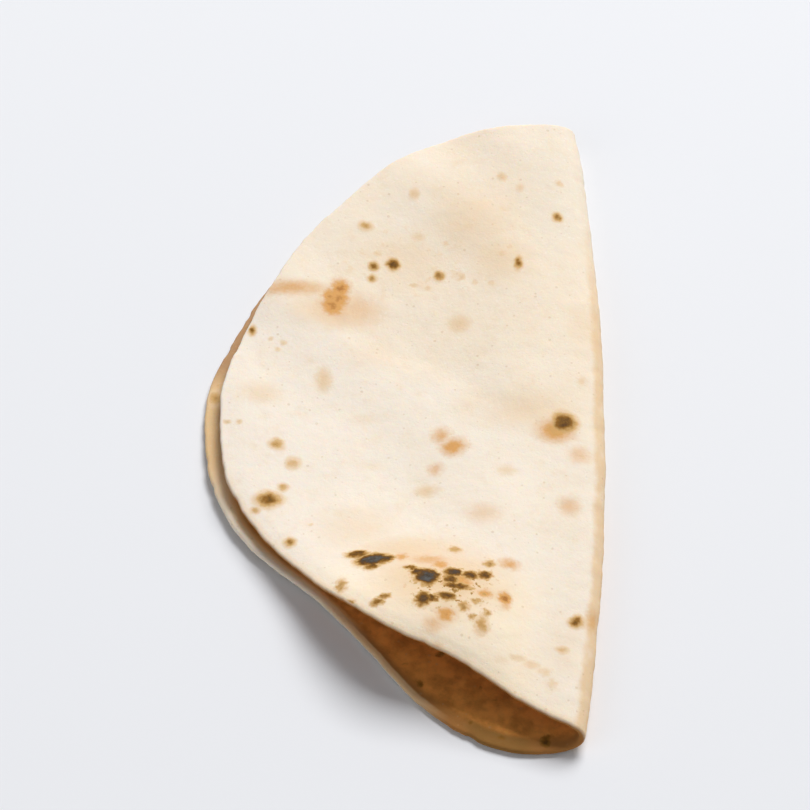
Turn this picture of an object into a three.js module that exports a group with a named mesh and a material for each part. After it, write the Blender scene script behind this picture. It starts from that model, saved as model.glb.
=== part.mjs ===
// A chapati folded in half: a thin round wheat flatbread, cooked on a griddle and folded once over itself.
//
// Units are millimetres. +Z is up, +Y runs along the fold and +X points from the open rim towards the fold.
// The bread lies on Z = 0, and the origin is on that plane, under the middle of the bread's bounding box.
//
// The bread is worked out in two steps. First it is a flat disc, in which a point has two flat coordinates:
// "across", the distance from the fold line, positive on the half that ends up on top, and "along", the
// distance along the fold line. Then every flat point is carried to its place in the folded bread.
import * as THREE from "three";

// Driving dimensions of the flat bread.
const RADIUS = 90;
const THICKNESS = 1.9;
const RIM_THICKNESS = 1.5;
const RIM_TAPER = 9; // width of the border in which the bread thins towards its rim

// The fold. Its bend is a curve that runs out flat on both sides, pi bend radii apart.
const BEND_RADIUS = 2.5;
const BEND_RADIUS_NEAR_END = 2.1;
const BEND_TIGHTENS_FROM = -18; // place along the fold from which the bend tightens towards its near end
const FOLD_BOW = 5.4; // how far the middle of the fold stands out past its two ends
const FOLD_OFFSET = 1.2; // the lower half is longer than the upper one by twice this

// How the upper half lies on the lower one: it sinks from the fold until only a thin gap is left.
const RESTING_GAP = 0.7;
const SINK_FROM = 7;
const SINK_TO = 56;

// The lip: the near corner of the upper half, which stands up and leaves the fold open like a pocket.
const LIP = { height: 9.5, across: 44, along: -66, widthAcross: 27, widthAlong: 24 };

// The bend holds the upper half level next to it. Lip and waves grow to their full size past it.
const BEND_HOLDS_TO = 5;
const BEND_FREES_AT = 26;

// Unevenness of the rim: each entry adds size * cos(order * angle + phase) to the radius, in millimetres.
const RIM_WAVES = [
  { order: 3, size: 0.45, phase: 0.6 },
  { order: 5, size: 0.35, phase: 2.9 },
  { order: 8, size: 0.3, phase: 1.1 },
  { order: 13, size: 0.25, phase: 4.0 },
  { order: 21, size: 0.16, phase: 5.2 },
];

// Fuller and flatter stretches of the rim. Angles are in degrees round the flat disc, from +across to +along.
const RIM_STRETCHES = [
  { angle: 0, width: 16, size: 2.1 },
  { angle: 22, width: 16, size: -0.4 },
  { angle: 40, width: 16, size: -1.3 },
  { angle: 62, width: 16, size: 2.9 },
  { angle: 84, width: 16, size: 1.3 },
  { angle: 145, width: 22, size: -1.7 },
  { angle: 164, width: 14, size: 1.1 },
  { angle: 182, width: 14, size: 2.7 },
  { angle: -162, width: 13, size: 2.4 },
  { angle: -148, width: 13, size: -2.6 },
  { angle: -134, width: 13, size: -6.5 },
  { angle: -120, width: 13, size: -2 },
  { angle: -106, width: 13, size: 2.6 },
  { angle: -92, width: 13, size: 2.7 },
  { angle: -78, width: 13, size: -2.7 },
  { angle: -68, width: 5, size: -0.8 },
  { angle: -64, width: 13, size: -4 },
  { angle: -58, width: 6, size: 0.8 },
  { angle: -50, width: 13, size: -1.9 },
  { angle: -48, width: 5, size: -0.8 },
  { angle: -36, width: 13, size: -3.3 },
  { angle: -22, width: 13, size: 0.7 },
];

// Slow waves of each half, as heights: lengths are the wave lengths across and along the fold.
const UPPER_WAVES = [
  { size: 0.7, across: 74, along: 118, phase: 0.4 },
  { size: 0.5, across: 51, along: -69, phase: 2.1 },
  { size: 0.28, across: -33, along: 41, phase: 4.4 },
];
const UPPER_WAVES_RAISED = 0.9; // keeps their troughs clear of the lower half
const LOWER_WAVES = [
  { size: 0.18, across: 83, along: -96, phase: 1.3 },
  { size: 0.12, across: -47, along: 58, phase: 3.2 },
];
const LOWER_WAVES_SUNK = 0.1; // leaves the lower half flat on its support, but for their crests
const LOWER_WAVES_FROM = 4;
const LOWER_WAVES_TO = 20;

// Where the rim of the lower half lifts off the surface that it lies on, as places on the flat disc.
const LOWER_LIFTS = [
  { height: 3.2, angle: 132, width: 26 },
  { height: 1.6, angle: 205, width: 20 },
];
const LIFT_FROM = 0.62; // share of the radius at which a lift starts
const LIFT_TO = 1.05;

// Low domes left by steam pockets, as places on the flat disc. They stand out of the outer face.
const DOMES = [
  { across: 52, along: 34, radius: 17, height: 0.9 },
  { across: 28, along: 58, radius: 12, height: 0.6 },
  { across: 63, along: -12, radius: 13, height: 0.6 },
  { across: 30, along: -34, radius: 15, height: 0.8 },
  { across: 22, along: 6, radius: 11, height: 0.5 },
  { across: 46, along: -52, radius: 10, height: 0.6 },
  { across: -38, along: 22, radius: 16, height: -0.5 },
  { across: -52, along: -30, radius: 13, height: -0.5 },
];

// How finely the bread is faceted: ring k has 6 k points, and the points draw together towards the fold.
const RINGS = 28;
const FOLD_CROWDING = 0.085;
const FOLD_CROWDING_REACH = 0.12;

const SLOPE_STEP = 0.05; // distance over which the slope of the folded surface is measured
const HALF_PI = Math.PI / 2;
const radians = THREE.MathUtils.degToRad;
const smooth = THREE.MathUtils.smoothstep;

// A bell-shaped bump, 1 at the middle and nearly 0 beyond twice the width.
function bell(distance, width) {
  return Math.exp(-((distance / width) ** 2));
}

function angleBetween(a, b) {
  return Math.atan2(Math.sin(a - b), Math.cos(a - b));
}

// How far the rim is out of round at an angle of the flat disc.
function rimUnevenness(angle) {
  let size = -FOLD_OFFSET * Math.cos(angle);
  for (const wave of RIM_WAVES) {
    size += wave.size * Math.cos(wave.order * angle + wave.phase);
  }
  for (const stretch of RIM_STRETCHES) {
    const away = angleBetween(angle, radians(stretch.angle));
    size += stretch.size * bell(away, radians(stretch.width));
  }
  return size;
}

// Flat coordinates of a point of the unit disc, given as a share of its radius and an angle.
function flatPoint(share, angle) {
  const u = share * Math.cos(angle);
  const v = share * Math.sin(angle);
  const halfChord = Math.sqrt(Math.max(1 - v * v, Number.EPSILON));
  const place = THREE.MathUtils.clamp(u / halfChord, -1, 1);
  const pull = FOLD_CROWDING * Math.tanh(place / FOLD_CROWDING_REACH) * (1 - Math.abs(place));
  const x = (place - pull) * halfChord;
  const reach = Math.hypot(x, v);
  const radius = RADIUS + rimUnevenness(Math.atan2(v, x)) * reach ** 3;
  return { across: x * radius, along: v * radius, reach };
}

function bendRadius(along) {
  const share = smooth(along, -RADIUS, BEND_TIGHTENS_FROM);
  return THREE.MathUtils.lerp(BEND_RADIUS_NEAR_END, BEND_RADIUS, share);
}

function waveHeight(waves, across, along) {
  let height = 0;
  for (const wave of waves) {
    height += wave.size * Math.sin(2 * Math.PI * (across / wave.across + along / wave.along) + wave.phase);
  }
  return height;
}

// Height of the upper half over the level at which it leaves the bend. It is negative where the half sinks.
function upperRise(across, along) {
  const sink = Math.PI * bendRadius(along) - THICKNESS - RESTING_GAP;
  const lip = LIP.height * bell(across - LIP.across, LIP.widthAcross) * bell(along - LIP.along, LIP.widthAlong);
  const waves = waveHeight(UPPER_WAVES, across, along) + UPPER_WAVES_RAISED;
  const freed = smooth(across, BEND_HOLDS_TO, BEND_FREES_AT);
  return (lip + waves) * freed - sink * smooth(across, SINK_FROM, SINK_TO);
}

// Height of the lower half over the surface that it lies on, at a point with "across" below zero.
function lowerRise(across, along) {
  const reach = Math.hypot(across, along) / RADIUS;
  const angle = Math.atan2(along, across);
  const waves = waveHeight(LOWER_WAVES, across, along) * smooth(-across, LOWER_WAVES_FROM, LOWER_WAVES_TO);
  let height = waves - LOWER_WAVES_SUNK;
  for (const lift of LOWER_LIFTS) {
    const away = angleBetween(angle, radians(lift.angle));
    height += lift.height * bell(away, radians(lift.width)) * smooth(reach, LIFT_FROM, LIFT_TO);
  }
  return Math.max(height, 0);
}

// The middle of the bread's thickness, carried from the flat disc to the folded bread. The section across
// the fold is the curve x = -log(cosh(t)), on which t is the length along the curve in bend radii.
function middle(across, along) {
  const bend = bendRadius(along);
  const turn = across / bend;
  const bow = FOLD_BOW * (1 - (along / RADIUS) ** 2);
  const x = bow - bend * Math.log(Math.cosh(turn));
  const roll = bend * (HALF_PI + 2 * Math.atan(Math.tanh(turn / 2)));
  const lower = lowerRise(-Math.abs(across), along);
  const upper = across > 0 ? upperRise(across, along) : 0;
  return new THREE.Vector3(x, along, THICKNESS / 2 + roll + lower + upper);
}

// Unit normal of the middle surface, out of the face that ends up outside.
function outward(across, along) {
  const acrossWay = middle(across + SLOPE_STEP, along).sub(middle(across - SLOPE_STEP, along));
  const alongWay = middle(across, along + SLOPE_STEP).sub(middle(across, along - SLOPE_STEP));
  return alongWay.cross(acrossWay).normalize();
}

function domeHeight(across, along) {
  let height = 0;
  for (const dome of DOMES) {
    const away = Math.hypot(across - dome.across, along - dome.along) / dome.radius;
    height += away < 1 ? dome.height * (1 - away * away) ** 2 : 0;
  }
  return height;
}

// A point of the bread's skin: side is 1 on the outer face, -1 on the inner one and 0 at the rim's edge.
function skinPoint(flat, side, isRim) {
  const edgeShare = smooth(RADIUS * (1 - flat.reach), 0, RIM_TAPER);
  const half = THREE.MathUtils.lerp(RIM_THICKNESS, THICKNESS, edgeShare) / 2;
  const inset = isRim ? 1 - half / RADIUS : 1;
  const across = flat.across * inset;
  const along = flat.along * inset;
  const point = middle(across, along);
  if (side === 0) {
    const rimward = middle(flat.across, flat.along).sub(point).setLength(half);
    point.add(rimward);
  } else {
    const relief = side > 0 ? domeHeight(across, along) * edgeShare : 0;
    point.addScaledVector(outward(across, along), side * half + relief);
  }
  point.z = Math.max(point.z, 0);
  return point;
}

// Triangles of a disc made of rings, as triples of point numbers. Point 0 is the middle.
function discTriangles() {
  const triangles = [];
  const firstOf = (ring) => (ring === 0 ? 0 : 1 + 3 * ring * (ring - 1));
  const pointOf = (ring, place) => (ring === 0 ? 0 : firstOf(ring) + (place % (6 * ring)));
  for (let ring = 1; ring <= RINGS; ring += 1) {
    for (let sector = 0; sector < 6; sector += 1) {
      for (let step = 0; step < ring; step += 1) {
        const inner = pointOf(ring - 1, sector * (ring - 1) + step);
        const outer = pointOf(ring, sector * ring + step);
        const nextOuter = pointOf(ring, sector * ring + step + 1);
        triangles.push([inner, outer, nextOuter]);
        if (step < ring - 1) {
          const nextInner = pointOf(ring - 1, sector * (ring - 1) + step + 1);
          triangles.push([inner, nextOuter, nextInner]);
        }
      }
    }
  }
  return triangles;
}

// The closed skin of the bread: the outer face, the inner face and the rim that joins them.
function breadGeometry() {
  const flatPoints = [flatPoint(0, 0)];
  for (let ring = 1; ring <= RINGS; ring += 1) {
    for (let place = 0; place < 6 * ring; place += 1) {
      flatPoints.push(flatPoint(ring / RINGS, (2 * Math.PI * place) / (6 * ring)));
    }
  }
  const faceCount = flatPoints.length;
  const rimCount = 6 * RINGS;
  const rimStart = faceCount - rimCount;
  const points = [];
  for (const side of [1, -1]) {
    flatPoints.forEach((flat, index) => points.push(skinPoint(flat, side, index >= rimStart)));
  }
  flatPoints.slice(rimStart).forEach((flat) => points.push(skinPoint(flat, 0, true)));

  const index = [];
  for (const [a, b, c] of discTriangles()) {
    index.push(a, c, b);
    index.push(faceCount + a, faceCount + b, faceCount + c);
  }
  for (let place = 0; place < rimCount; place += 1) {
    const next = (place + 1) % rimCount;
    const outer = [rimStart + place, rimStart + next];
    const edge = [2 * faceCount + place, 2 * faceCount + next];
    const inner = [faceCount + rimStart + place, faceCount + rimStart + next];
    index.push(outer[0], outer[1], edge[1], outer[0], edge[1], edge[0]);
    index.push(edge[0], edge[1], inner[1], edge[0], inner[1], inner[0]);
  }

  const geometry = new THREE.BufferGeometry().setFromPoints(points);
  geometry.setIndex(index);
  geometry.computeBoundingBox();
  const centre = geometry.boundingBox.getCenter(new THREE.Vector3());
  geometry.translate(-centre.x, -centre.y, -geometry.boundingBox.min.z);
  geometry.computeVertexNormals();
  return geometry;
}

const breadMaterial = new THREE.MeshStandardMaterial({ color: 0xf0dcc0, roughness: 0.85, metalness: 0 });

const chapati = new THREE.Group();
const bread = new THREE.Mesh(breadGeometry(), breadMaterial);
bread.name = "bread";
chapati.add(bread);

export default chapati;
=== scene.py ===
import math

import bpy
import numpy as np
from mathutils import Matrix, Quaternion, Vector, noise


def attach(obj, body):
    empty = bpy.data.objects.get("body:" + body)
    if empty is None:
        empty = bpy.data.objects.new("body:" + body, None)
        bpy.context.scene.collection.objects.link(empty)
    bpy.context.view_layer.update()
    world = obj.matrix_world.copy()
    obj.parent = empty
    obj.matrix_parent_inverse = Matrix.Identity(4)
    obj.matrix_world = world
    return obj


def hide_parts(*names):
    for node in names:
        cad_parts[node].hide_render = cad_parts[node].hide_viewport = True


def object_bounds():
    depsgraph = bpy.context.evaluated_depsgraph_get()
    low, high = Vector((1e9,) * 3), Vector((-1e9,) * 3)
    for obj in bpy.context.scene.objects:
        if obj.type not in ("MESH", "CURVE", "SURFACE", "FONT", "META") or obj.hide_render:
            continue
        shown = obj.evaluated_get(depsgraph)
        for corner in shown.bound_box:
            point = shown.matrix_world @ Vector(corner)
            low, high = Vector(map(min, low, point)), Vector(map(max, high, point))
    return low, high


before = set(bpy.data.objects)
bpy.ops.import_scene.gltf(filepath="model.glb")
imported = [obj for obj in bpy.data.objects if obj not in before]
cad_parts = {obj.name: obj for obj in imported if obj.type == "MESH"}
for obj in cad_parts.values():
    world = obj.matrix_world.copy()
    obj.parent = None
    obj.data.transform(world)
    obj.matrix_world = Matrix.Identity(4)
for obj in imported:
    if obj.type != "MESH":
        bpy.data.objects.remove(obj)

# A chapati folded once into a half moon, lying on a pale table in soft studio light.
cad_low, cad_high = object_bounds()

# ---------------------------------------------------------------------------------------------------------
# The chapati: one thin round of unleavened wheat dough, rolled by hand, cooked on a dry griddle until steam
# pockets puff and scorch it in spots, and folded over once while it is warm. Its sizes are in millimetres.
#
# A place on the flat round is "across" the fold line, positive on the half that ends up on top, and "along"
# the fold line. The outer face is the one that stays outside when the bread is folded.

RADIUS = 90
THICKNESS = 1.9
RIM_THICKNESS = 1.5
RIM_TAPER = 9

BEND_RADIUS = 2.5
BEND_RADIUS_NEAR_END = 2.1
BEND_TIGHTENS_FROM = -18
FOLD_BOW = 5.4
FOLD_OFFSET = 1.2

# Waves of the rim as (order, size, phase), and its fuller and flatter stretches as (angle, width, size), the
# angles and widths in degrees.
RIM_WAVES = [(3, 0.45, 0.6), (5, 0.35, 2.9), (8, 0.3, 1.1), (13, 0.25, 4.0), (21, 0.16, 5.2)]
RIM_STRETCHES = [
    (0, 16, 2.1),
    (22, 16, -0.4),
    (40, 16, -1.3),
    (62, 16, 2.9),
    (84, 16, 1.3),
    (145, 22, -1.7),
    (164, 14, 1.1),
    (182, 14, 2.7),
    (-162, 13, 2.4),
    (-148, 13, -2.6),
    (-134, 13, -6.5),
    (-120, 13, -2),
    (-106, 13, 2.6),
    (-92, 13, 2.7),
    (-78, 13, -2.7),
    (-68, 5, -0.8),
    (-64, 13, -4),
    (-58, 6, 0.8),
    (-50, 13, -1.9),
    (-48, 5, -0.8),
    (-36, 13, -3.3),
    (-22, 13, 0.7),
]

# Small swellings of the rim, as (height, size, layer of the noise), and the nicks where the dough cracked.
RIM_LUMPS = [(0.15, 6, 3.1), (0.09, 2.2, 7.7)]
NICK_SIZE = 4.5
NICK_LAYER = 12.3
NICK_DEPTH = 0.28
NICKS_FROM = 0.38
NICKS_TO = 0.62

# Lumps carry finer ones: each layer is this many times as fine, and lower by this power of that.
LUMP_FINER = 2.0
LUMP_FALL = 0.7


def smooth(value, low, high):
    """0 up to low, 1 from high, and an S-shaped rise between them."""
    share = np.clip((value - low) / (high - low), 0, 1)
    return share * share * (3 - 2 * share)


def bell(distance, width):
    return np.exp(-((distance / width) ** 2))


def angle_between(a, b):
    return np.arctan2(np.sin(a - b), np.cos(a - b))


def lumps(x, y, size, layer, octaves=2):
    """Smooth random heights, mostly between -1 and 1, with lumps of a size in millimetres."""
    places = zip(np.ravel(x) / size, np.ravel(y) / size)
    heights = [noise.fractal(Vector((a, b, layer)), LUMP_FALL, LUMP_FINER, octaves) for a, b in places]
    return np.array(heights).reshape(np.shape(x))


def unevenness(x, y, layers):
    """Lumps of several sizes together, each given as (height, size, layer of the noise)."""
    return sum(height * lumps(x, y, size, layer) for height, size, layer in layers)


def rim_unevenness(angle):
    """How far the hand-rolled rim is out of round."""
    size = -FOLD_OFFSET * np.cos(angle)
    for order, height, phase in RIM_WAVES:
        size = size + height * np.cos(order * angle + phase)
    for centre, width, height in RIM_STRETCHES:
        size = size + height * bell(angle_between(angle, math.radians(centre)), math.radians(width))
    return size


def rim_roughness(angle):
    """Small bites and swellings of the rim, where the dough cracked as it was rolled."""
    x = RADIUS * np.cos(angle)
    y = RADIUS * np.sin(angle)
    nicks = smooth(lumps(x, y, NICK_SIZE, NICK_LAYER, 1), NICKS_FROM, NICKS_TO)
    return unevenness(x, y, RIM_LUMPS) - NICK_DEPTH * nicks


def bend_radius(along):
    share = smooth(along, -RADIUS, BEND_TIGHTENS_FROM)
    return BEND_RADIUS_NEAR_END + (BEND_RADIUS - BEND_RADIUS_NEAR_END) * share


# How the halves lie. The upper one sinks from the bend until a thin gap is left, and its near corner, the
# lip, stands up and leaves the fold open like a pocket. Both have slow waves, as (size, length across,
# length along, phase), which are calmer in the middle of the upper half. The lower half's rim has two
# lifts, as (height, angle, width).
RESTING_GAP = 0.7
SINK_FROM = 7
SINK_TO = 56
LIP_HEIGHT = 9.5
LIP_ACROSS = 44
LIP_ALONG = -66
LIP_WIDTH_ACROSS = 27
LIP_WIDTH_ALONG = 24
BEND_HOLDS_TO = 5
BEND_FREES_AT = 26
UPPER_WAVES = [(0.7, 74, 118, 0.4), (0.5, 51, -69, 2.1), (0.28, -33, 41, 4.4)]
UPPER_WAVES_RAISED = 0.9
UPPER_WAVES_CALMED = 0.45
CALMED_FROM = 0.97
CALMED_TO = 0.72
LOWER_WAVES = [(0.18, 83, -96, 1.3), (0.12, -47, 58, 3.2)]
LOWER_WAVES_SUNK = 0.1
LOWER_WAVES_FROM = 4
LOWER_WAVES_TO = 20
LOWER_LIFTS = [(3.2, 132, 26), (1.6, 205, 20)]
LIFT_FROM = 0.62
LIFT_TO = 1.05


def wave_height(waves, across, along):
    height = 0
    for size, wave_across, wave_along, phase in waves:
        height = height + size * np.sin(2 * np.pi * (across / wave_across + along / wave_along) + phase)
    return height


def upper_rise(across, along):
    sink = np.pi * bend_radius(along) - THICKNESS - RESTING_GAP
    lip = LIP_HEIGHT * bell(across - LIP_ACROSS, LIP_WIDTH_ACROSS) * bell(along - LIP_ALONG, LIP_WIDTH_ALONG)
    calmed = UPPER_WAVES_CALMED * smooth(-np.hypot(across, along) / RADIUS, -CALMED_FROM, -CALMED_TO)
    waves = wave_height(UPPER_WAVES, across, along) * (1 - calmed) + UPPER_WAVES_RAISED
    freed = smooth(across, BEND_HOLDS_TO, BEND_FREES_AT)
    return (lip + waves) * freed - sink * smooth(across, SINK_FROM, SINK_TO)


def lower_rise(across, along):
    reach = np.hypot(across, along) / RADIUS
    angle = np.arctan2(along, across)
    waves = wave_height(LOWER_WAVES, across, along) * smooth(-across, LOWER_WAVES_FROM, LOWER_WAVES_TO)
    height = waves - LOWER_WAVES_SUNK
    for lift, centre, width in LOWER_LIFTS:
        away = angle_between(angle, math.radians(centre))
        height = height + lift * bell(away, math.radians(width)) * smooth(reach, LIFT_FROM, LIFT_TO)
    return np.maximum(height, 0)


def middle(across, along):
    """The middle of the bread's thickness, carried from the flat round to the folded bread."""
    bend = bend_radius(along)
    turn = across / bend
    bow = FOLD_BOW * (1 - (along / RADIUS) ** 2)
    x = bow - bend * np.log(np.cosh(turn))
    roll = bend * (np.pi / 2 + 2 * np.arctan(np.tanh(turn / 2)))
    lower = lower_rise(-np.abs(across), along)
    upper = np.where(across > 0, upper_rise(across, along), 0)
    return np.stack([x, along, THICKNESS / 2 + roll + lower + upper], axis=-1)


def unit(vectors):
    return vectors / np.linalg.norm(vectors, axis=-1, keepdims=True)


def outward(across, along, step=0.05):
    """Unit normals of the middle surface, out of the outer face."""
    across_way = middle(across + step, along) - middle(across - step, along)
    along_way = middle(across, along + step) - middle(across, along - step)
    return unit(np.cross(along_way, across_way))


# The marks that the griddle left on the upper half, as (across, along, half width across, half width along,
# heat). Heat 0.3 is a faint tan, 0.5 toasted, 0.8 brown, 1 dark brown, and from 1.15 on charred.
CHARRED_MARKS = [
    (52.0, -50.3, 3.7, 2.3, 1.35),
    (55.9, -47.6, 2.5, 1.5, 1.04),
    (49.0, -50.6, 2.0, 1.3, 1.1),
    (52.2, -52.8, 1.8, 1.3, 0.94),
    (39.7, -56.8, 2.7, 2.4, 1.32),
    (39.6, -59.3, 1.5, 1.1, 0.74),
    (43.6, -54.2, 1.9, 0.8, 0.86),
    (41.8, -55.5, 1.8, 1.3, 1.08),
    (34.3, -54.8, 2.1, 1.6, 1.14),
    (34.4, -57.2, 1.9, 1.5, 0.94),
    (32.9, -59.0, 3.4, 1.0, 0.98),
    (30.3, -55.1, 2.1, 1.5, 0.97),
    (27.1, -54.4, 1.7, 1.3, 1.01),
    (39.9, -63.6, 1.9, 2.1, 1.06),
    (38.0, -63.3, 1.3, 1.0, 1.06),
    (35.1, -62.3, 2.4, 1.3, 0.9),
    (48.2, -63.1, 1.5, 1.0, 0.77),
    (49.8, -64.6, 1.4, 1.1, 0.81),
    (58.4, -58.4, 1.2, 2.2, 0.67),
    (56.0, -64.3, 1.3, 1.2, 0.66),
    (28.5, -62.6, 1.7, 0.9, 0.61),
    (31.1, -64.5, 1.4, 1.5, 0.67),
    (25.8, -65.2, 0.9, 1.1, 0.67),
    (29.0, -66.7, 0.9, 0.9, 0.67),
    (26.7, -68.3, 1.4, 2.2, 0.61),
    (26.4, -50.7, 1.4, 1.2, 0.72),
    (34.3, -46.6, 1.5, 1.3, 0.62),
]
BROWN_MARKS = [
    (10.7, -6.2, 2.7, 3.0, 1.03),
    (12.6, -8.4, 3.3, 2.8, 0.5),
    (77.9, -29.0, 2.8, 2.2, 0.95),
    (74.8, -25.0, 1.3, 1.3, 0.6),
    (71.7, -42.2, 1.3, 1.4, 0.77),
    (77.2, -12.3, 1.7, 1.5, 0.66),
    (73.1, -17.5, 1.7, 1.8, 0.5),
    (84.1, 23.4, 1.0, 1.7, 0.8),
    (50.0, 44.9, 1.6, 1.8, 0.98),
    (54.6, 44.2, 1.3, 1.5, 0.82),
    (55.3, 40.5, 1.2, 1.2, 0.72),
    (38.9, 41.5, 1.3, 1.6, 0.78),
    (19.8, 44.2, 1.1, 2.4, 0.76),
    (9.2, 59.4, 1.2, 1.5, 0.8),
    (5.8, -62.8, 1.5, 1.7, 0.88),
    (8.2, -70.9, 1.6, 1.1, 0.46),
    (56.1, 56.5, 1.6, 1.4, 0.62),
    (43.6, 66.6, 1.3, 1.6, 0.38),
    (21.4, 72.6, 1.1, 1.4, 0.38),
    (17.4, 69.0, 1.1, 1.4, 0.32),
    (79.4, 20.4, 0.7, 0.7, 0.34),
    (76.5, 19.0, 0.8, 0.7, 0.36),
    (78.0, 17.1, 0.8, 0.6, 0.34),
    (89.0, -6.4, 0.9, 0.8, 0.42),
    (86.3, -6.4, 0.8, 0.8, 0.38),
    (67.4, -36.6, 0.6, 0.6, 0.3),
    (80.6, -32.2, 1.2, 1.0, 0.56),
]
FAINT_MARKS = [
    (45.2, 38.7, 0.9, 0.8, 0.36),
    (41.8, 37.9, 0.8, 0.7, 0.34),
    (41.3, 40.6, 0.7, 0.6, 0.3),
    (33.7, 40.9, 0.9, 1.3, 0.38),
    (30.4, 38.9, 0.7, 0.9, 0.3),
    (36.9, 51.3, 0.9, 0.9, 0.3),
    (53.6, 48.4, 1.1, 1.0, 0.34),
    (43.6, 53.6, 1.7, 1.3, 0.28),
    (23.3, 47.2, 1.3, 1.1, 0.36),
    (21.5, 49.4, 0.9, 1.0, 0.32),
    (31.0, 56.0, 2.8, 2.4, 0.24),
    (34.0, 63.0, 1.8, 2.4, 0.2),
    (22.1, 61.9, 1.5, 1.5, 0.2),
    (8.1, 70.8, 1.0, 1.0, 0.36),
    (26.4, 38.2, 0.8, 0.9, 0.28),
    (41.7, -25.9, 2.6, 1.9, 0.32),
    (23.8, -21.3, 2.1, 1.9, 0.26),
    (66.9, 8.2, 1.9, 3.5, 0.36),
    (81.5, 3.0, 5.0, 3.5, 0.22),
    (34.4, 26.0, 2.5, 2.5, 0.34),
    (57.0, -3.0, 4.0, 2.0, 0.15),
    (55.0, -17.0, 4.0, 2.0, 0.15),
    (6.4, 7.1, 1.2, 1.5, 0.3),
    (21.5, -76.1, 1.8, 0.8, 0.16),
    (18.1, -74.8, 2.0, 0.8, 0.3),
    (14.6, -75.7, 2.0, 0.9, 0.32),
    (11.4, -77.1, 1.6, 1.2, 0.32),
    (9.5, -80.0, 1.0, 1.6, 0.28),
    (19.0, -3.0, 11.0, 6.0, 0.22),
    (36.0, -58.0, 13.0, 8.0, 0.36),
    (46.0, -46.5, 12.0, 5.5, 0.28),
    (66.0, 29.0, 9.0, 5.0, 0.27),
    (24.0, 46.0, 8.0, 8.0, 0.22),
    (57.0, -38.0, 10.0, 9.0, 0.19),
    (56.0, 16.0, 8.0, 5.0, 0.15),
    (34.0, -65.0, 8.0, 4.0, 0.2),
    (8.0, -70.0, 5.0, 12.0, 0.13),
    (32.0, 0.0, 6.0, 6.0, 0.13),
    (30.0, 58.0, 11.0, 12.0, 0.2),
    (47.0, 46.0, 11.0, 8.0, 0.18),
    (4.0, 24.0, 5.0, 9.0, 0.18),
]

# Toasted spots that stayed orange, in the same form. Those above 0.8 turn rust brown in the middle.
RUST_MARKS = [
    (22.5, -60.2, 1.3, 1.5, 1.1),
    (22.2, -61.6, 1.1, 1.3, 0.52),
    (45.7, -49.9, 1.5, 1.6, 0.7),
    (39.6, -50.9, 4.4, 1.9, 0.56),
    (37.0, -52.4, 2.1, 1.4, 0.7),
    (34.7, -67.0, 1.7, 1.6, 0.9),
    (37.1, -69.7, 2.0, 1.6, 0.4),
    (22.0, -49.9, 2.1, 1.5, 0.62),
    (26.8, -60.1, 1.5, 1.3, 0.78),
    (32.9, -57.2, 3.2, 2.3, 0.8),
    (26.7, -68.3, 1.3, 1.9, 0.42),
    (12.9, -8.9, 3.3, 2.7, 0.8),
    (38.8, -9.3, 1.8, 2.0, 0.56),
    (36.0, -13.1, 2.4, 2.2, 0.78),
    (39.8, -19.4, 1.5, 1.6, 0.42),
    (7.0, -15.6, 2.1, 2.0, 0.38),
    (28.3, -34.7, 3.0, 2.6, 0.27),
    (9.1, -30.7, 2.0, 2.2, 0.42),
    (2.1, -61.7, 1.2, 2.2, 0.44),
    (65.0, 30.8, 2.4, 3.0, 0.99),
    (63.7, 33.4, 2.2, 2.7, 1.0),
    (65.4, 33.8, 1.9, 2.2, 0.95),
    (63.0, 36.6, 1.9, 2.3, 1.05),
    (59.0, 30.2, 4.4, 4.0, 0.34),
    (63.6, 30.0, 3.6, 4.6, 0.42),
    (74.8, 36.0, 7.0, 1.9, 0.56),
    (35.6, -74.9, 1.2, 0.9, 0.28),
    (38.0, -51.0, 12.0, 5.0, 0.16),
]

# Marks on the inner face of the lower half, in the pocket and on the rim that shows past the upper half.
INNER_MARKS = [
    (-38.7, -76.0, 1.6, 1.8, 0.82),
    (-26.4, -86.0, 1.2, 1.1, 0.8),
    (-9.4, -90.7, 1.7, 2.2, 1.0),
    (-19.2, -90.0, 2.0, 1.3, 0.82),
    (-21.9, -80.0, 0.9, 1.0, 0.75),
    (-35.3, -68.0, 2.0, 1.4, 0.82),
    (-25.2, -76.8, 0.8, 1.2, 0.7),
    (-42.8, -70.8, 1.8, 1.0, 0.7),
    (-92.4, 4.8, 1.9, 2.3, 0.64),
]

# Wide fields, as (across, along, half width across, half width along). Fine scorched specks crowd around the
# charred marks, the far part is mottled with tan, and the puffed plain is whitest with dry flour.
CHAR_FIELD = (34.0, -59.0, 14.0, 10.0)
FAR_FIELD = (45.0, 46.0, 25.0, 15.0)
DUSTED_FIELD = (44.0, -16.0, 18.0, 12.0)

# Steam pockets. Domes are the large low ones, as (across, along, radius, height). Blisters are strewn by
# chance: most are small, and a small one is also low.
DOMES = [
    (52, 34, 17, 0.5),
    (28, 58, 12, 0.35),
    (63, -12, 13, 0.4),
    (30, -34, 15, 0.45),
    (22, 6, 11, 0.3),
    (46, -52, 10, 0.4),
    (-38, 22, 16, -0.5),
    (-52, -30, 13, -0.5),
]
BLISTERS = 520
BLISTER_SEED = 7
BLISTER_RADIUS = (1.0, 4.2)
BLISTER_RARITY = 2.5
BLISTER_SLOPE = 0.045
BLISTER_FULLNESS = (0.3, 1)

# A scorched mark is swollen by this much for each unit of its heat, and as far out as this in half widths.
BLISTERED_LIFT = 0.11
BLISTERED_REACH = 1.7

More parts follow.
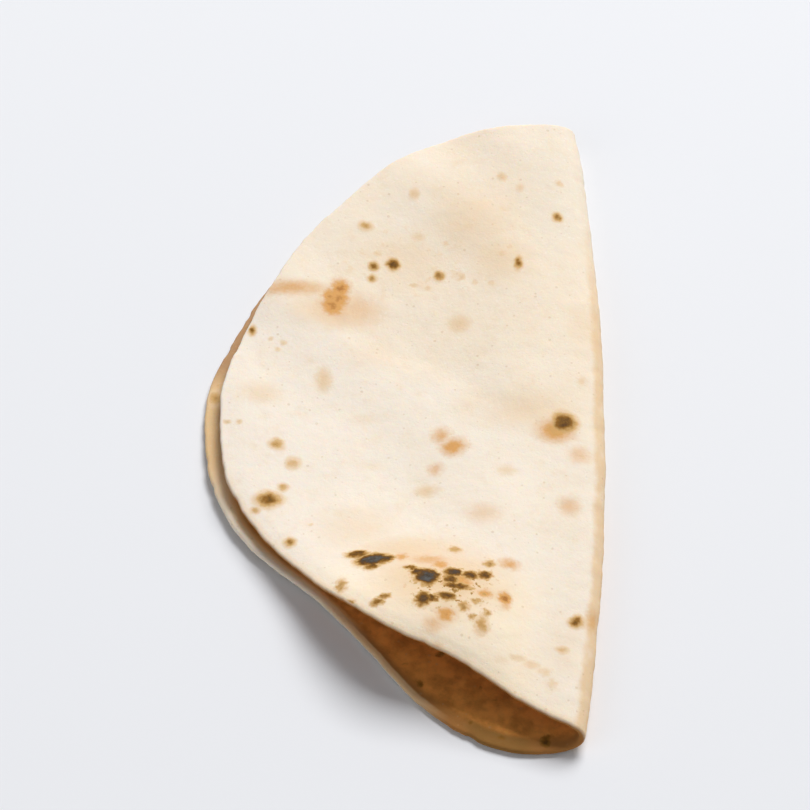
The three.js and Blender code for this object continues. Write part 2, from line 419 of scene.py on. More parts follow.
# The puffed plain takes up the near half of the upper face. Its soft edge wanders about the line through two
# places, and it rises out of the bend.
PLAIN_FROM = (12.3, -9.8)
PLAIN_TO = (79.6, 34.7)
PLAIN_HEIGHT = 0.3
PLAIN_EDGE = 3
PLAIN_WANDER = 2.5
PLAIN_WANDER_SIZE = 16
PLAIN_WANDER_LAYER = 5.5
PLAIN_RISES_FROM = 8
PLAIN_RISES_TO = 22

# Fine unevenness, in the form of RIM_LUMPS. At the bend the skin is drawn into lumps, and into wrinkles that
# are twice as long across the fold as along it. The underside lies a little back, so that few of its puffs
# are pressed flat by what it lies on.
OUTER_LUMPS = [(0.05, 6, 1.7), (0.02, 1.9, 8.3)]
INNER_LUMPS = [(0.07, 8, 21.0), (0.025, 2.1, 24.0)]
INNER_RECESS = 0.12
BEND_LUMPS = [(0.2, 11, 14.6)]
BEND_WRINKLES = [(0.12, 3, 17.2)]
BEND_WRINKLE_SHARE = 0.5
BEND_LUMPS_REACH = 8
UNDERSIDE_RECESS = 0.25
UNDERSIDE_FROM = 3
UNDERSIDE_TO = 12


def hump(away, height):
    """A low round hump: its height in the middle, and nothing from a distance of 1 on."""
    return np.where(away < 1, height * (1 - away * away) ** 2, 0)


def dome(across, along, centre_across, centre_along, radius, height):
    return hump(np.hypot(across - centre_across, along - centre_along) / radius, height)


def plain_side(across, along):
    """How far inside the puffed plain a place is, in millimetres from the straight line of its edge."""
    run_across = PLAIN_TO[0] - PLAIN_FROM[0]
    run_along = PLAIN_TO[1] - PLAIN_FROM[1]
    run = math.hypot(run_across, run_along)
    return (across - PLAIN_FROM[0]) * (run_along / run) - (along - PLAIN_FROM[1]) * (run_across / run)


def outer_relief(across, along):
    """Heights of the outer face's puffs, blisters and scorched spots over the smooth bread."""
    height = 0
    for puff in DOMES:
        height = height + dome(across, along, *puff)
    wander = PLAIN_WANDER * lumps(across, along, PLAIN_WANDER_SIZE, PLAIN_WANDER_LAYER)
    plain = smooth(plain_side(across, along) + wander, -PLAIN_EDGE, PLAIN_EDGE)
    height = height + PLAIN_HEIGHT * plain * smooth(across, PLAIN_RISES_FROM, PLAIN_RISES_TO)

    chance = np.random.default_rng(BLISTER_SEED)
    smallest, largest = BLISTER_RADIUS
    blisters = np.zeros_like(across)
    for _ in range(BLISTERS):
        turn = chance.uniform(0, 2 * math.pi)
        reach = RADIUS * math.sqrt(chance.uniform(0, 1))
        radius = smallest + (largest - smallest) * chance.uniform(0, 1) ** BLISTER_RARITY
        size = BLISTER_SLOPE * radius * chance.uniform(*BLISTER_FULLNESS)
        blister = dome(across, along, reach * math.cos(turn), reach * math.sin(turn), radius, size)
        blisters = np.maximum(blisters, blister)
    height = height + blisters

    for centre_across, centre_along, half_across, half_along, heat in CHARRED_MARKS + BROWN_MARKS:
        away = np.hypot((across - centre_across) / half_across, (along - centre_along) / half_along)
        height = height + hump(away / BLISTERED_REACH, BLISTERED_LIFT * heat)

    rough = unevenness(across, along, OUTER_LUMPS)
    wrinkles = unevenness(across * BEND_WRINKLE_SHARE, along, BEND_WRINKLES)
    drawn = unevenness(across, along, BEND_LUMPS) + wrinkles
    rough = rough + drawn * bell(across, BEND_LUMPS_REACH)
    underside = smooth(-across, UNDERSIDE_FROM, UNDERSIDE_TO) * UNDERSIDE_RECESS
    return height + rough - underside


def inner_relief(across, along):
    """Heights of the inner face, which only has dents, so that the halves never meet."""
    return np.minimum(unevenness(across, along, INNER_LUMPS) - INNER_RECESS, 0)


# The skin is a mesh of rings on the flat round, drawn together towards the fold. Each ring has six points
# more than the last, and rows of points around the rim join the two faces. The rim's waves and roughness
# die away towards the middle by a power of the reach, and so does the inset that makes room for its edge.
# The two ends of the fold are chords of no length, so the shortest chord stands in for them.
RINGS = 120
RING_SECTORS = 6
RIM_ROWS = 8
RIM_INSET_POWER = 8
RIM_WAVES_POWER = 3
RIM_ROUGHNESS_POWER = 24
FOLD_CROWDING = 0.085
FOLD_CROWDING_REACH = 0.12
RELIEF_STARTS_WITHIN = 4
EDGE_ROUGHNESS = 0.12
EDGE_LUMP_SIZE = 2.6
EDGE_LUMP_LAYER = 31
SHORTEST_CHORD = 1e-6
MILLIMETRE = 0.001


def disc_points():
    """Flat coordinates of the points of every ring, and their share of the way to the rim."""
    rings = range(1, RINGS + 1)
    ring = np.concatenate([[0]] + [np.full(RING_SECTORS * k, k) for k in rings])
    place = np.concatenate([[0]] + [np.arange(RING_SECTORS * k) for k in rings])
    angle = 2 * np.pi * place / np.maximum(RING_SECTORS * ring, 1)
    u = ring / RINGS * np.cos(angle)
    v = ring / RINGS * np.sin(angle)
    half_chord = np.sqrt(np.maximum(1 - v * v, SHORTEST_CHORD**2))
    spot = np.clip(u / half_chord, -1, 1)
    pull = FOLD_CROWDING * np.tanh(spot / FOLD_CROWDING_REACH) * (1 - np.abs(spot))
    x = (spot - pull) * half_chord
    reach = np.hypot(x, v)
    direction = np.arctan2(v, x)
    waves = rim_unevenness(direction) * reach**RIM_WAVES_POWER
    radius = RADIUS + waves + rim_roughness(direction) * reach**RIM_ROUGHNESS_POWER
    return x * radius, v * radius, reach


def ring_start(ring):
    """The number of the first point of a ring. Ring 0 is the one point in the middle."""
    return 0 if ring == 0 else 1 + RING_SECTORS * ring * (ring - 1) // 2


def disc_triangles():
    triangles = []
    for ring in range(1, RINGS + 1):
        outer_count = RING_SECTORS * ring
        inner_count = max(RING_SECTORS * (ring - 1), 1)
        sector, step = np.divmod(np.arange(outer_count), ring)
        inner = ring_start(ring - 1) + (sector * (ring - 1) + step) % inner_count
        next_inner = ring_start(ring - 1) + (sector * (ring - 1) + step + 1) % inner_count
        outer = ring_start(ring) + np.arange(outer_count)
        next_outer = ring_start(ring) + (np.arange(outer_count) + 1) % outer_count
        triangles.append(np.stack([inner, outer, next_outer], axis=-1))
        between = np.stack([inner, next_outer, next_inner], axis=-1)
        triangles.append(between[step < ring - 1])
    return np.concatenate(triangles)


def bread_mesh():
    across, along, reach = disc_points()
    count = len(across)
    rim_start = ring_start(RINGS)
    from_rim = RADIUS * (1 - reach)
    edge = smooth(from_rim, 0, RIM_TAPER)
    half = (RIM_THICKNESS + (THICKNESS - RIM_THICKNESS) * edge) / 2
    inset = 1 - RIM_THICKNESS / 2 / RADIUS * reach**RIM_INSET_POWER
    inset_across = across * inset
    inset_along = along * inset
    heart = middle(inset_across, inset_along)
    normal = outward(inset_across, inset_along)

    relief = smooth(from_rim, 0, RELIEF_STARTS_WITHIN)
    outer_height = half + outer_relief(inset_across, inset_along) * relief
    inner_height = half + inner_relief(inset_across, inset_along) * relief
    outer = heart + normal * outer_height[:, None]
    inner = heart - normal * inner_height[:, None]

    rim_across = across[rim_start:]
    rim_along = along[rim_start:]
    rim_heart = heart[rim_start:]
    rim_normal = normal[rim_start:]
    rimward = unit(middle(rim_across, rim_along) - rim_heart)
    rim_lumps = lumps(rim_across, rim_along, EDGE_LUMP_SIZE, EDGE_LUMP_LAYER)
    rows = []
    for row in range(1, RIM_ROWS):
        turn = math.pi * row / RIM_ROWS
        rough = EDGE_ROUGHNESS * math.sin(turn) ** 2 * rim_lumps
        way = math.cos(turn) * rim_normal + math.sin(turn) * rimward
        rows.append(rim_heart + way * (RIM_THICKNESS / 2 * (1 + rough))[:, None])
    points = np.concatenate([outer, inner] + rows)
    points[:, 2] = np.maximum(points[:, 2], 0)

    rim_count = RING_SECTORS * RINGS
    bands = [rim_start + np.arange(rim_count)]
    bands += [2 * count + row * rim_count + np.arange(rim_count) for row in range(RIM_ROWS - 1)]
    bands.append(count + rim_start + np.arange(rim_count))
    disc = disc_triangles()
    triangles = [disc[:, [0, 2, 1]], disc + count]
    for upper, lower in zip(bands, bands[1:]):
        next_upper = np.roll(upper, -1)
        next_lower = np.roll(lower, -1)
        triangles.append(np.stack([upper, next_upper, next_lower], axis=-1))
        triangles.append(np.stack([upper, next_lower, lower], axis=-1))
    triangles = np.concatenate(triangles)

    low = points.min(axis=0)
    high = points.max(axis=0)
    points -= [(low[0] + high[0]) / 2, (low[1] + high[1]) / 2, low[2]]
    mesh = bpy.data.meshes.new("chapati")
    mesh.from_pydata((points * MILLIMETRE).tolist(), [], triangles.tolist())
    mesh.shade_smooth()

    # The material reads where each point is on the flat round, which face it is on, from 1 on the outer one
    # through the rim to 0 on the inner one, and how far it is from the rim.
    rim_faces = [np.full(rim_count, 1 - row / RIM_ROWS) for row in range(1, RIM_ROWS)]
    face = np.concatenate([np.ones(count), np.zeros(count)] + rim_faces)
    flat_across = np.concatenate([inset_across, inset_across, np.tile(rim_across, RIM_ROWS - 1)])
    flat_along = np.concatenate([inset_along, inset_along, np.tile(rim_along, RIM_ROWS - 1)])
    flat = mesh.attributes.new("flat", "FLOAT_VECTOR", "POINT")
    flat.data.foreach_set("vector", np.stack([flat_across, flat_along, face], axis=-1).ravel())
    inward = np.concatenate([from_rim, from_rim, np.zeros(rim_count * (RIM_ROWS - 1))])
    mesh.attributes.new("from_rim", "FLOAT", "POINT").data.foreach_set("value", inward)
    return mesh


# The crust: cream flour dough, chalky where it puffed dry, and scorched through these colours by the heat.
FLOURY = (0.87, 0.785, 0.68, 1)
CREAM = (0.85, 0.74, 0.6, 1)
CHALK = (0.87, 0.8, 0.73, 1)
FAR_CREAM = (0.8, 0.73, 0.625, 1)
TAN = (0.77, 0.57, 0.36, 1)
TOAST = (0.6, 0.37, 0.14, 1)
UMBER = (0.27, 0.122, 0.014, 1)
DARK = (0.118, 0.052, 0.009, 1)
CHAR = (0.052, 0.038, 0.026, 1)
ASH = (0.112, 0.112, 0.113, 1)
RUST = (0.67, 0.333, 0.087, 1)
RUST_BROWN = (0.4, 0.165, 0.04, 1)
FLOUR = (0.93, 0.87, 0.79, 1)
BRAN = (0.52, 0.34, 0.18, 1)
# The edge, lip and pocket colours below are partly toast and partly painted light and shade: the lip's cream
# is a painted highlight, the warm edge and the pocket browns are painted shade.
EDGE_TAN = (0.74, 0.5, 0.25, 1)
LIP_PAINTED_LIGHT = (0.95, 0.81, 0.62, 1)
EDGE_BROWN = (0.42, 0.225, 0.092, 1)
EDGE_PALE = (0.88, 0.66, 0.4, 1)
EDGE_WARM_SHADE = (0.82, 0.47, 0.18, 1)
POCKET_RIM_SHADE = (0.40, 0.18, 0.05, 1)
POCKET_TOAST_IN_SHADE = (0.86, 0.37, 0.085, 1)
POCKET_BROWN_IN_SHADE = (0.5, 0.205, 0.042, 1)
POCKET_END_SHADE = (0.26, 0.132, 0.032, 1)

# A mark's heat fades from its core out to this reach less the core, in half widths of the mark.
MARK_REACH = 2.0
CHARRED_CORE = 0.2
BROWN_CORE = 0.1

# Spots strewn over the faces that are hidden at rest, as (spacing, largest radius, share of the cells that
# have one, start, end, heat). The heat comes in from start to end, in millimetres inside the spot. The two
# faces cut through the strewn spots this far apart, so that they don't repeat each other.
STREWN_SPOTS = [
    (11, 4.5, 0.55, -1.2, 2.6, 0.34),
    (13, 2.4, 0.4, -0.9, 1.6, 0.56),
    (15, 1.6, 0.35, -0.7, 0.9, 1.05),
]
FACES_APART = 60

# The skin's finish: dull, less so where it charred, lightly see-through, with pores and wrinkles this deep.
SKIN_ROUGHNESS = 0.78
PATCHES_ROUGHER = 0.12
CHAR_SMOOTHER = 0.12
SKIN_REFRACTION = 1.42
SKIN_GLOSS = 0.22
GLOW_SHARE = 0.25
GLOW_COLOURS = (1.0, 0.5, 0.22)
GLOW_DEPTH = 0.0014
BUMP_STRENGTH = 0.55
BUMP_DEPTH = 0.00012


class Shade:
    """A shader value. Sums and products of shades add the Math nodes that work them out."""

    tree = None

    def __init__(self, socket):
        self.socket = socket

    @classmethod
    def node(cls, kind, settings=(), inputs=(), output=0):
        """Adds a node of one kind: its settings are made first, then its sockets are set or linked."""
        made = cls.tree.nodes.new(kind)
        for name, setting in dict(settings).items():
            setattr(made, name, setting)
        for name, value in dict(inputs).items():
            if isinstance(value, cls):
                cls.tree.links.new(value.socket, made.inputs[name])
            else:
                made.inputs[name].default_value = value
        return cls(made.outputs[output]) if made.outputs else None

    def other(self, output):
        """Another output of the same node."""
        return Shade(self.socket.node.outputs[output])

    @classmethod
    def math(cls, operation, *values):
        return cls.node("ShaderNodeMath", {"operation": operation}, enumerate(values))

    def __add__(self, other):
        return self.math("ADD", self, other)

    __radd__ = __add__

    def __sub__(self, other):
        return self.math("SUBTRACT", self, other)

    def __rsub__(self, other):
        return self.math("SUBTRACT", other, self)

    def __mul__(self, other):
        return self.math("MULTIPLY", self, other)

    __rmul__ = __mul__

    def __gt__(self, other):
        return self.math("GREATER_THAN", self, other)


def larger(first, second):
    return Shade.math("MAXIMUM", first, second)


def smaller(first, second):
    return Shade.math("MINIMUM", first, second)


def fade(value, start, end):
    """0 at start, 1 at end, with an S-shaped change between them. Start may be the higher."""
    ends = {"Value": value, "From Min": start, "From Max": end}
    return Shade.node("ShaderNodeMapRange", {"interpolation_type": "SMOOTHSTEP"}, ends)


def mix(share, first, second):
    """A colour between two, by a share."""
    return Shade.node("ShaderNodeMix", {"data_type": "RGBA"}, {0: share, 6: first, 7: second}, 2)


def vector(operation, *values, output=0):
    return Shade.node("ShaderNodeVectorMath", {"operation": operation}, enumerate(values), output)


def grain(place, size, detail=2.0, roughness=0.5, output=0):
    """Cloudy noise with lumps of a size in millimetres, from 0 to 1 around one half."""
    values = {"Vector": place, "Scale": 1 / size, "Detail": detail, "Roughness": roughness}
    return Shade.node("ShaderNodeTexNoise", (), values, output)


def reach_from(mark, place):
    """How far a place is from a mark's middle, in half widths of that mark."""
    across, along, half_across, half_along = mark
    scale = (1 / half_across, 1 / half_along, 0)
    shift = (-across / half_across, -along / half_along, 0)
    return vector("LENGTH", vector("MULTIPLY_ADD", place, scale, shift), output=1)


def heat_of(marks, place, core=0.0):
    """How hot each place got: every mark fades from the heat of its core to nothing at its reach."""
    hottest = 0.0
    for *mark, heat in marks:
        away = reach_from(mark, place)
        ends = {"Value": away, "From Min": MARK_REACH - core, "From Max": core, "To Max": heat}
        warmth = Shade.node("ShaderNodeMapRange", {"interpolation_type": "SMOOTHSTEP"}, ends)
        hottest = larger(hottest, warmth)
    return hottest


def strewn(place, spacing, largest, share):
    """How far inside a strewn speck a place is, in millimetres. The specks are round and of mixed sizes."""
    values = {"Vector": place, "Scale": 1 / spacing}
    distance = Shade.node("ShaderNodeTexVoronoi", (), values, "Distance")
    chance = Shade.node("ShaderNodeSeparateColor", (), {0: distance.other("Color")})
    radius = (chance - (1 - share)) * (largest / share)
    return radius - distance * spacing


class Place:
    """Where a point of the skin is: on the folded bread, on the flat round, and between the two faces."""

    def __init__(self):
        metres = Shade.node("ShaderNodeTexCoord", output="Object")
        self.folded = vector("MULTIPLY", metres, (1 / MILLIMETRE,) * 3)
        self.flat = Shade.node("ShaderNodeAttribute", {"attribute_name": "flat"}, output="Vector")
        self.from_rim = Shade.node("ShaderNodeAttribute", {"attribute_name": "from_rim"}, output="Fac")
        self.across = Shade.node("ShaderNodeSeparateXYZ", (), {0: self.flat})
        self.along = self.across.other(1)
        self.face = self.across.other(2)
        outside = fade(self.face, 0.55, 0.9)
        self.inner = 1 - outside
        self.upper = fade(self.across, 0, 2) * outside
        self.lower = fade(self.across, 2, -2)
        self.pocket = fade(self.along, -14, -34)

        # The bend is tan, partly toast and partly painted shade where the fold turns from the light:
        # patchily, and less at its far end.
        self.patches = grain(self.folded, 8, 4, 0.6)
        from_bend = Shade.math("ABSOLUTE", self.across + (self.patches - 0.5) * 3 + 0.3)
        self.bend = fade(from_bend, 4.6, 2.9) * (1 - fade(self.along, 20, 70) * 0.9)

        # The places of spots and specks are stirred a little, so that none is round.
        wander = vector("SUBTRACT", grain(self.folded, 2.2, 2, 0.5, output=1), (0.5, 0.5, 0.5))
        fine_wander = vector("SUBTRACT", grain(self.folded, 1.1, 3, 0.6, output=1), (0.5, 0.5, 0.5))
        self.stirred = vector("MULTIPLY_ADD", wander, (1.4, 1.4, 0), self.flat)
        self.well_stirred = vector("MULTIPLY_ADD", fine_wander, (1.6, 1.3, 0), self.stirred)


# The colours below are laid over each other by shares. A fade across, along or from the rim starts and ends
# at millimetres of the flat round, and a fade of grain, heat or rust at their own values from 0 up. A number
# at the end of a share is the most that it covers.
def dough_colour(at):
    """Slow changes of tone: the puffed plain is chalky, the rest a little tanner, the bend most. The bend's
    tan is partly toast and partly painted shade.
    """
    cloud = grain(at.folded, 30, 3)
    plain = fade(plain_side(at.across, at.along) + (cloud - 0.5) * 16, -5, 5)
    far_part = fade(at.along, 10, 60) * fade(at.along, 90, 64) * fade(at.across, 40, 5)
    rim_of_plain = fade(at.from_rim, 12, 0) * plain
    tone = (cloud - 0.5) * 0.9 + (at.patches - 0.5) * 1.1 - plain * 0.45 + 0.62
    tone = tone + far_part * 0.25 + rim_of_plain * 0.1
    colour = mix(fade(tone, 0.0, 0.9), FLOURY, CREAM)

    chalky = fade(at.across, 45, 75) * plain
    colour = mix(chalky * 0.38, colour, CHALK)
    far_bend = fade(at.across, 22, 8) * fade(at.along, 38, 62)
    colour = mix(far_bend * 0.6, colour, FAR_CREAM)
    tan_clouds = fade(grain(at.folded, 4.5, 4, 0.65), 0.5, 0.78)
    colour = mix(tan_clouds * 0.26, colour, TAN)
    # Painted shade and toast: the bend is tinted tan, patchily.
    bend_patchiness = fade(grain(at.folded, 6, 3, 0.6), 0.2, 0.52)
    return mix(at.bend * (bend_patchiness * 0.45 + 0.5), colour, TAN)


def rim_colour(at, colour):
    """The rims. The lower one is tan where it shows past the upper one, and brown for a stretch of it,
    partly toast and partly painted shade. In the pocket it is pale on its edge and painted a warm shade
    further in.
    The lip is painted a brighter cream, a painted highlight, with a tan edge."""
    # The lower half's rim past the upper one is painted tan, and brown in one stretch: partly a toasted rim,
    # partly painted shade that warms the shadow of the gap.
    beside_rim = 0.35 + fade(at.from_rim, 14, 6) * 0.55
    brown_stretch = fade(at.along, 6, 16) * fade(at.along, 56, 40)
    edge = at.lower * fade(at.face, 0.95, 0.7) * (1 - at.pocket) * beside_rim
    colour = mix(edge, colour, mix(brown_stretch, EDGE_TAN, EDGE_BROWN))
    # Painted shade: beside the rim in the pocket, the band that lies in the upper half's shadow is tinted
    # pale warm and then warm orange, so that the shadow reads brown.
    pale_shade_band = at.lower * at.pocket * fade(at.from_rim, 0.15, 0.8) * (1 - at.face)
    colour = mix(pale_shade_band * 0.8, colour, EDGE_PALE)
    warm_shade_band = at.lower * at.pocket * fade(at.from_rim, 0.9, 2.0)
    colour = mix(warm_shade_band * 0.9, colour, EDGE_WARM_SHADE)
    # Painted light: the lip turns away from the light, and is painted a brighter cream to make up for it.
    lip = fade(at.across, 8, 20) * fade(at.along, -44, -62)
    colour = mix(lip * 0.7, colour, LIP_PAINTED_LIGHT)
    lip_edge = (1 - at.lower) * fade(at.from_rim, 1.6, 0) * at.pocket
    return mix(lip_edge * 0.4, colour, TAN)


def pocket_colour(at, colour):
    """The inner face is brown where it shows in the open end of the fold, and so is the edge that turns to
    it, but for a pale line on the rim. That brown is partly toast and partly painted shade. Gives the
    colour, and how much of it is toast and painted shade."""
    turned_in = fade(at.face + at.lower * (0.25 - fade(at.across, -44, -36) * 0.4), 0.8, 0.5)
    beyond_rim = fade(at.from_rim, 1.6, 3.1)
    pale_edge = at.lower * (1 - beyond_rim) * fade(at.along, -66, -54)
    # Painted shade and toast: the upper half's inner face and the underside of its rim are half brown, so a
    # dark line shows under the lip's edge.
    upper_inside_shade = fade(at.face, 0.85, 0.5) * (1 - at.lower)
    # How much is covered by the toast and painted shade of the inside.
    toast_and_shade = larger(turned_in * at.pocket * (1 - pale_edge), upper_inside_shade * 0.5)

    # Painted shade: the inside is darker near the rim, where light still reaches it, and a saturated orange
    # deeper in, so that the whole open end looks shaded brown.
    deep = fade(at.from_rim, 0.8, 4.0)
    blotches = fade(grain(at.folded, 4.5, 4, 0.6), 0.32, 0.68)
    inside = mix(deep, POCKET_RIM_SHADE, mix(blotches, POCKET_BROWN_IN_SHADE, POCKET_TOAST_IN_SHADE))
    # Painted shade at the near end of the lower half, whose rim is lit here.
    near_end_shade = fade(at.across, -30, -24) * fade(at.across, -10, -15) * fade(at.from_rim, 3.2, 2.0)
    inside = mix(near_end_shade * at.lower * 0.8, inside, POCKET_END_SHADE)
    colour = mix(toast_and_shade, colour, inside)
    pale_line = at.lower * fade(at.from_rim, 1.2, 0.5) * fade(at.across, -30, -42)
    return mix(pale_line * turned_in * fade(at.along, -48, -60) * 0.75, colour, EDGE_PALE), toast_and_shade


def flecked_colour(at, colour, toast_and_shade):
    """Flecks of bran and flour, and the dry flour that dusts the plain."""
    bran = fade(strewn(at.folded, 1.7, 0.42, 0.45), -0.05, 0.15)
    colour = mix(bran * 0.3, colour, BRAN)
    flour = fade(grain(at.folded, 0.9, 3, 0.7), 0.54, 0.7) * (1 - toast_and_shade) * (1 - at.inner * 0.7)
    colour = mix(flour * (1 - at.bend * 0.7) * 0.35, colour, FLOUR)
    dusted = fade(reach_from(DUSTED_FIELD, at.stirred), 1.4, 0.3)
    return mix(dusted * at.upper * 0.22, colour, FLOUR)


def strewn_heat(at):
    """The heat of the spots on the faces that are hidden at rest."""
    depth = Shade.node("ShaderNodeCombineXYZ", (), {2: (at.face > 0.5) * FACES_APART})
    slices = vector("ADD", vector("MULTIPLY", at.stirred, (1, 1, 0)), depth)
    hottest = 0.0
    for spacing, largest, share, start, end, heat in STREWN_SPOTS:
        hottest = larger(hottest, fade(strewn(slices, spacing, largest, share), start, end) * heat)
    return hottest * (1 - at.upper) * (1 - larger(at.pocket, fade(at.from_rim, 10, 7)) * at.inner)


def scorching(at):
    """The heat that scorched the bread, and the heat that turned it rust. Marks that show at rest have their
    own places, and the others are strewn."""
    heat = heat_of(CHARRED_MARKS, at.well_stirred, CHARRED_CORE)
    heat = larger(heat, heat_of(BROWN_MARKS, at.stirred, BROWN_CORE))
    heat = larger(heat, heat_of(FAINT_MARKS, at.well_stirred))
    char_crowd = fade(reach_from(CHAR_FIELD, at.well_stirred), 1.15, 0.35)
    char_specks = fade(grain(at.folded, 1.15, 2, 0.5), 0.51, 0.68)
    heat = larger(heat, char_crowd * char_specks * 0.75)
    far_field = fade(reach_from(FAR_FIELD, at.well_stirred), 1.2, 0.5)
    far_mottle = fade(grain(at.folded, 2.6, 3, 0.65), 0.47, 0.68)
    heat = larger(heat, far_field * far_mottle * 0.2) * at.upper
    heat = larger(heat, strewn_heat(at))
    heat = larger(heat, heat_of(INNER_MARKS, at.stirred) * fade(at.face, 0.8, 0.5))

    rust = heat_of(RUST_MARKS, at.well_stirred) * at.upper
    mottle = (grain(at.folded, 0.8, 3, 0.6) - 0.5) * 0.24
    coarse = (grain(at.folded, 1.7, 2) - 0.5) * 0.5
    heat = heat + mottle * fade(heat, 0.1, 0.5) + coarse * fade(heat, 0.5, 0.9)
    return heat, rust + mottle * fade(rust, 0.1, 0.5)


def scorched_colour(at, colour, toast_and_shade, heat, rust):
    """The dough through rust, and through tan, toast, umber and dark brown to char with grey ash."""
    colour = mix(smaller(rust * 1.35, 0.93), colour, RUST)
    colour = mix(fade(rust, 0.8, 1.15), colour, RUST_BROWN)
    pale = 1 - toast_and_shade
    colour = mix(fade(heat, 0.02, 0.34) * pale * (1 - fade(rust, 0.1, 0.4)) * 0.75, colour, TAN)
    colour = mix(fade(heat, 0.28, 0.62) * pale * 0.95, colour, TOAST)
    colour = mix(fade(heat, 0.55, 0.85), colour, UMBER)
    colour = mix(fade(heat, 0.8, 1.02), colour, DARK)
    flakes = fade(grain(at.folded, 0.75, 3, 0.6), 0.46, 0.72) * fade(heat, 0.75, 1.0)
    colour = mix(flakes * 0.45, colour, UMBER)
    ashy = fade(heat, 1.0, 1.35) * fade(grain(at.folded, 1.3, 4, 0.65), 0.3, 0.72)
    return mix(fade(heat, 0.95, 1.3), colour, mix(ashy, CHAR, ASH))


def crust():
    material = bpy.data.materials.new("baked_dough")
    material.use_nodes = True
    material.node_tree.nodes.clear()
    Shade.tree = material.node_tree

    at = Place()
    colour = rim_colour(at, dough_colour(at))
    colour, toast_and_shade = pocket_colour(at, colour)
    colour = flecked_colour(at, colour, toast_and_shade)
    heat, rust = scorching(at)
    colour = scorched_colour(at, colour, toast_and_shade, heat, rust)

    # Relief too fine for the mesh: the dough's pores and wrinkles.
    pores = fade(strewn(at.folded, 1.2, 0.34, 0.5), -0.05, 0.2)
    fine = grain(at.folded, 0.7, 4, 0.6) + grain(at.folded, 2.6, 3) * 2 - pores * 0.5
    relief = {"Strength": BUMP_STRENGTH, "Distance": BUMP_DEPTH, "Height": fine}
    roughness = SKIN_ROUGHNESS + at.patches * PATCHES_ROUGHER - fade(heat, 0.4, 0.8) * CHAR_SMOOTHER
    surface = Shade.node(
        "ShaderNodeBsdfPrincipled",
        {"subsurface_method": "RANDOM_WALK"},
        {
            "Base Color": colour,
            "Roughness": roughness,
            "Normal": Shade.node("ShaderNodeBump", (), relief),
            "IOR": SKIN_REFRACTION,
            "Specular IOR Level": SKIN_GLOSS,
            "Subsurface Weight": GLOW_SHARE,
            "Subsurface Radius": GLOW_COLOURS,
            "Subsurface Scale": GLOW_DEPTH,
        },
    )
    Shade.node("ShaderNodeOutputMaterial", (), {"Surface": surface})
    return material


chapati = bpy.data.objects.new("chapati", bread_mesh())
bpy.context.scene.collection.objects.link(chapati)
chapati.data.materials.append(crust())
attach(chapati, "root")
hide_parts("bread")

# ---------------------------------------------------------------------------------------------------------
# The table: a plain pale surface that the bread lies on. It is no part of the bread, and it is a hair below
# it, so that the two don't touch.
TABLE_SIZE = 8.0
TABLE_DROP = 0.0001
TABLE_COLOUR = (0.80, 0.82, 0.87, 1)
TABLE_ROUGHNESS = 0.85
TABLE_GLOSS = 0.2

table_mesh = bpy.data.meshes.new("table")
corner = TABLE_SIZE / 2
corners = [(-corner, -corner), (corner, -corner), (corner, corner), (-corner, corner)]
table_mesh.from_pydata([(x, y, -TABLE_DROP) for x, y in corners], [], [(0, 1, 2, 3)])
table = bpy.data.objects.new("table", table_mesh)
bpy.context.scene.collection.objects.link(table)
table_material = bpy.data.materials.new("pale_table")
table_material.use_nodes = True
table_surface = table_material.node_tree.nodes["Principled BSDF"]
table_surface.inputs["Base Color"].default_value = TABLE_COLOUR
table_surface.inputs["Roughness"].default_value = TABLE_ROUGHNESS
table_surface.inputs["Specular IOR Level"].default_value = TABLE_GLOSS
table_mesh.materials.append(table_material)

# ---------------------------------------------------------------------------------------------------------
# The light: a large soft box behind the bread, high up and to its right, a weak one low at its front left,
# and a dim pale surround.
KEY_POSITION = (0.77, 1.65, 2.31)
KEY_SIZE = 1.54
KEY_POWER = 91
KEY_COLOUR = (1.0, 0.99, 0.97)
FILL_POSITION = (-0.9, -0.6, 0.7)
FILL_SIZE = 0.8
FILL_POWER = 2.0
FILL_COLOUR = (1.0, 0.99, 0.98)
SURROUND_COLOUR = (1.0, 0.985, 0.96, 1)
SURROUND_STRENGTH = 0.23

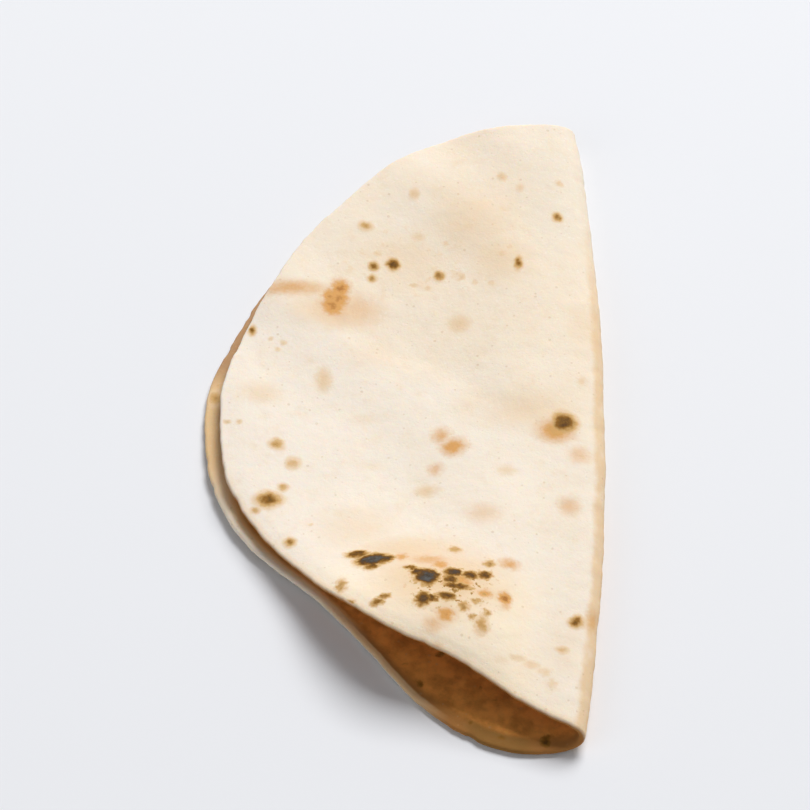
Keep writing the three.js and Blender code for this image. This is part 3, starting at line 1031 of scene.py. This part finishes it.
centre = (cad_low + cad_high) / 2


def soft_box(name, position, size, power, colour):
    """A square lamp that faces the bread."""
    lamp = bpy.data.lights.new(name, "AREA")
    lamp.shape = "SQUARE"
    lamp.size = size
    lamp.energy = power
    lamp.color = colour
    box = bpy.data.objects.new(name, lamp)
    box.location = Vector(position)
    box.rotation_euler = (centre - box.location).to_track_quat("-Z", "Y").to_euler()
    bpy.context.scene.collection.objects.link(box)


soft_box("key_light", KEY_POSITION, KEY_SIZE, KEY_POWER, KEY_COLOUR)
soft_box("fill_light", FILL_POSITION, FILL_SIZE, FILL_POWER, FILL_COLOUR)

surround = bpy.data.worlds.new("surround")
surround.use_nodes = True
surround.node_tree.nodes["Background"].inputs["Color"].default_value = SURROUND_COLOUR
surround.node_tree.nodes["Background"].inputs["Strength"].default_value = SURROUND_STRENGTH
bpy.context.scene.world = surround
bpy.context.scene.view_settings.view_transform = "Standard"

# ---------------------------------------------------------------------------------------------------------
# The camera looks down on the bread from its near end, where the fold opens into the pocket, through a long
# lens, and is turned a little about its own axis.
CAMERA_DISTANCE = 0.846
CAMERA_ELEVATION = math.radians(49.7)
CAMERA_AZIMUTH = math.radians(-0.6)
CAMERA_ROLL = math.radians(2.1)
CAMERA_LENS = 161
CAMERA_SENSOR = 36
CAMERA_SEES_FROM = 0.01

camera_data = bpy.data.cameras.new("camera")
camera_data.lens = CAMERA_LENS
camera_data.sensor_width = CAMERA_SENSOR
camera_data.clip_start = CAMERA_SEES_FROM
camera = bpy.data.objects.new("camera", camera_data)
back = Vector((
    math.sin(CAMERA_AZIMUTH) * math.cos(CAMERA_ELEVATION),
    -math.cos(CAMERA_AZIMUTH) * math.cos(CAMERA_ELEVATION),
    math.sin(CAMERA_ELEVATION),
))
camera.location = centre + back * CAMERA_DISTANCE
aim = (-back).to_track_quat("-Z", "Y") @ Quaternion((0, 0, 1), CAMERA_ROLL)
camera.rotation_euler = aim.to_euler()
bpy.context.scene.collection.objects.link(camera)
bpy.context.scene.camera = camera
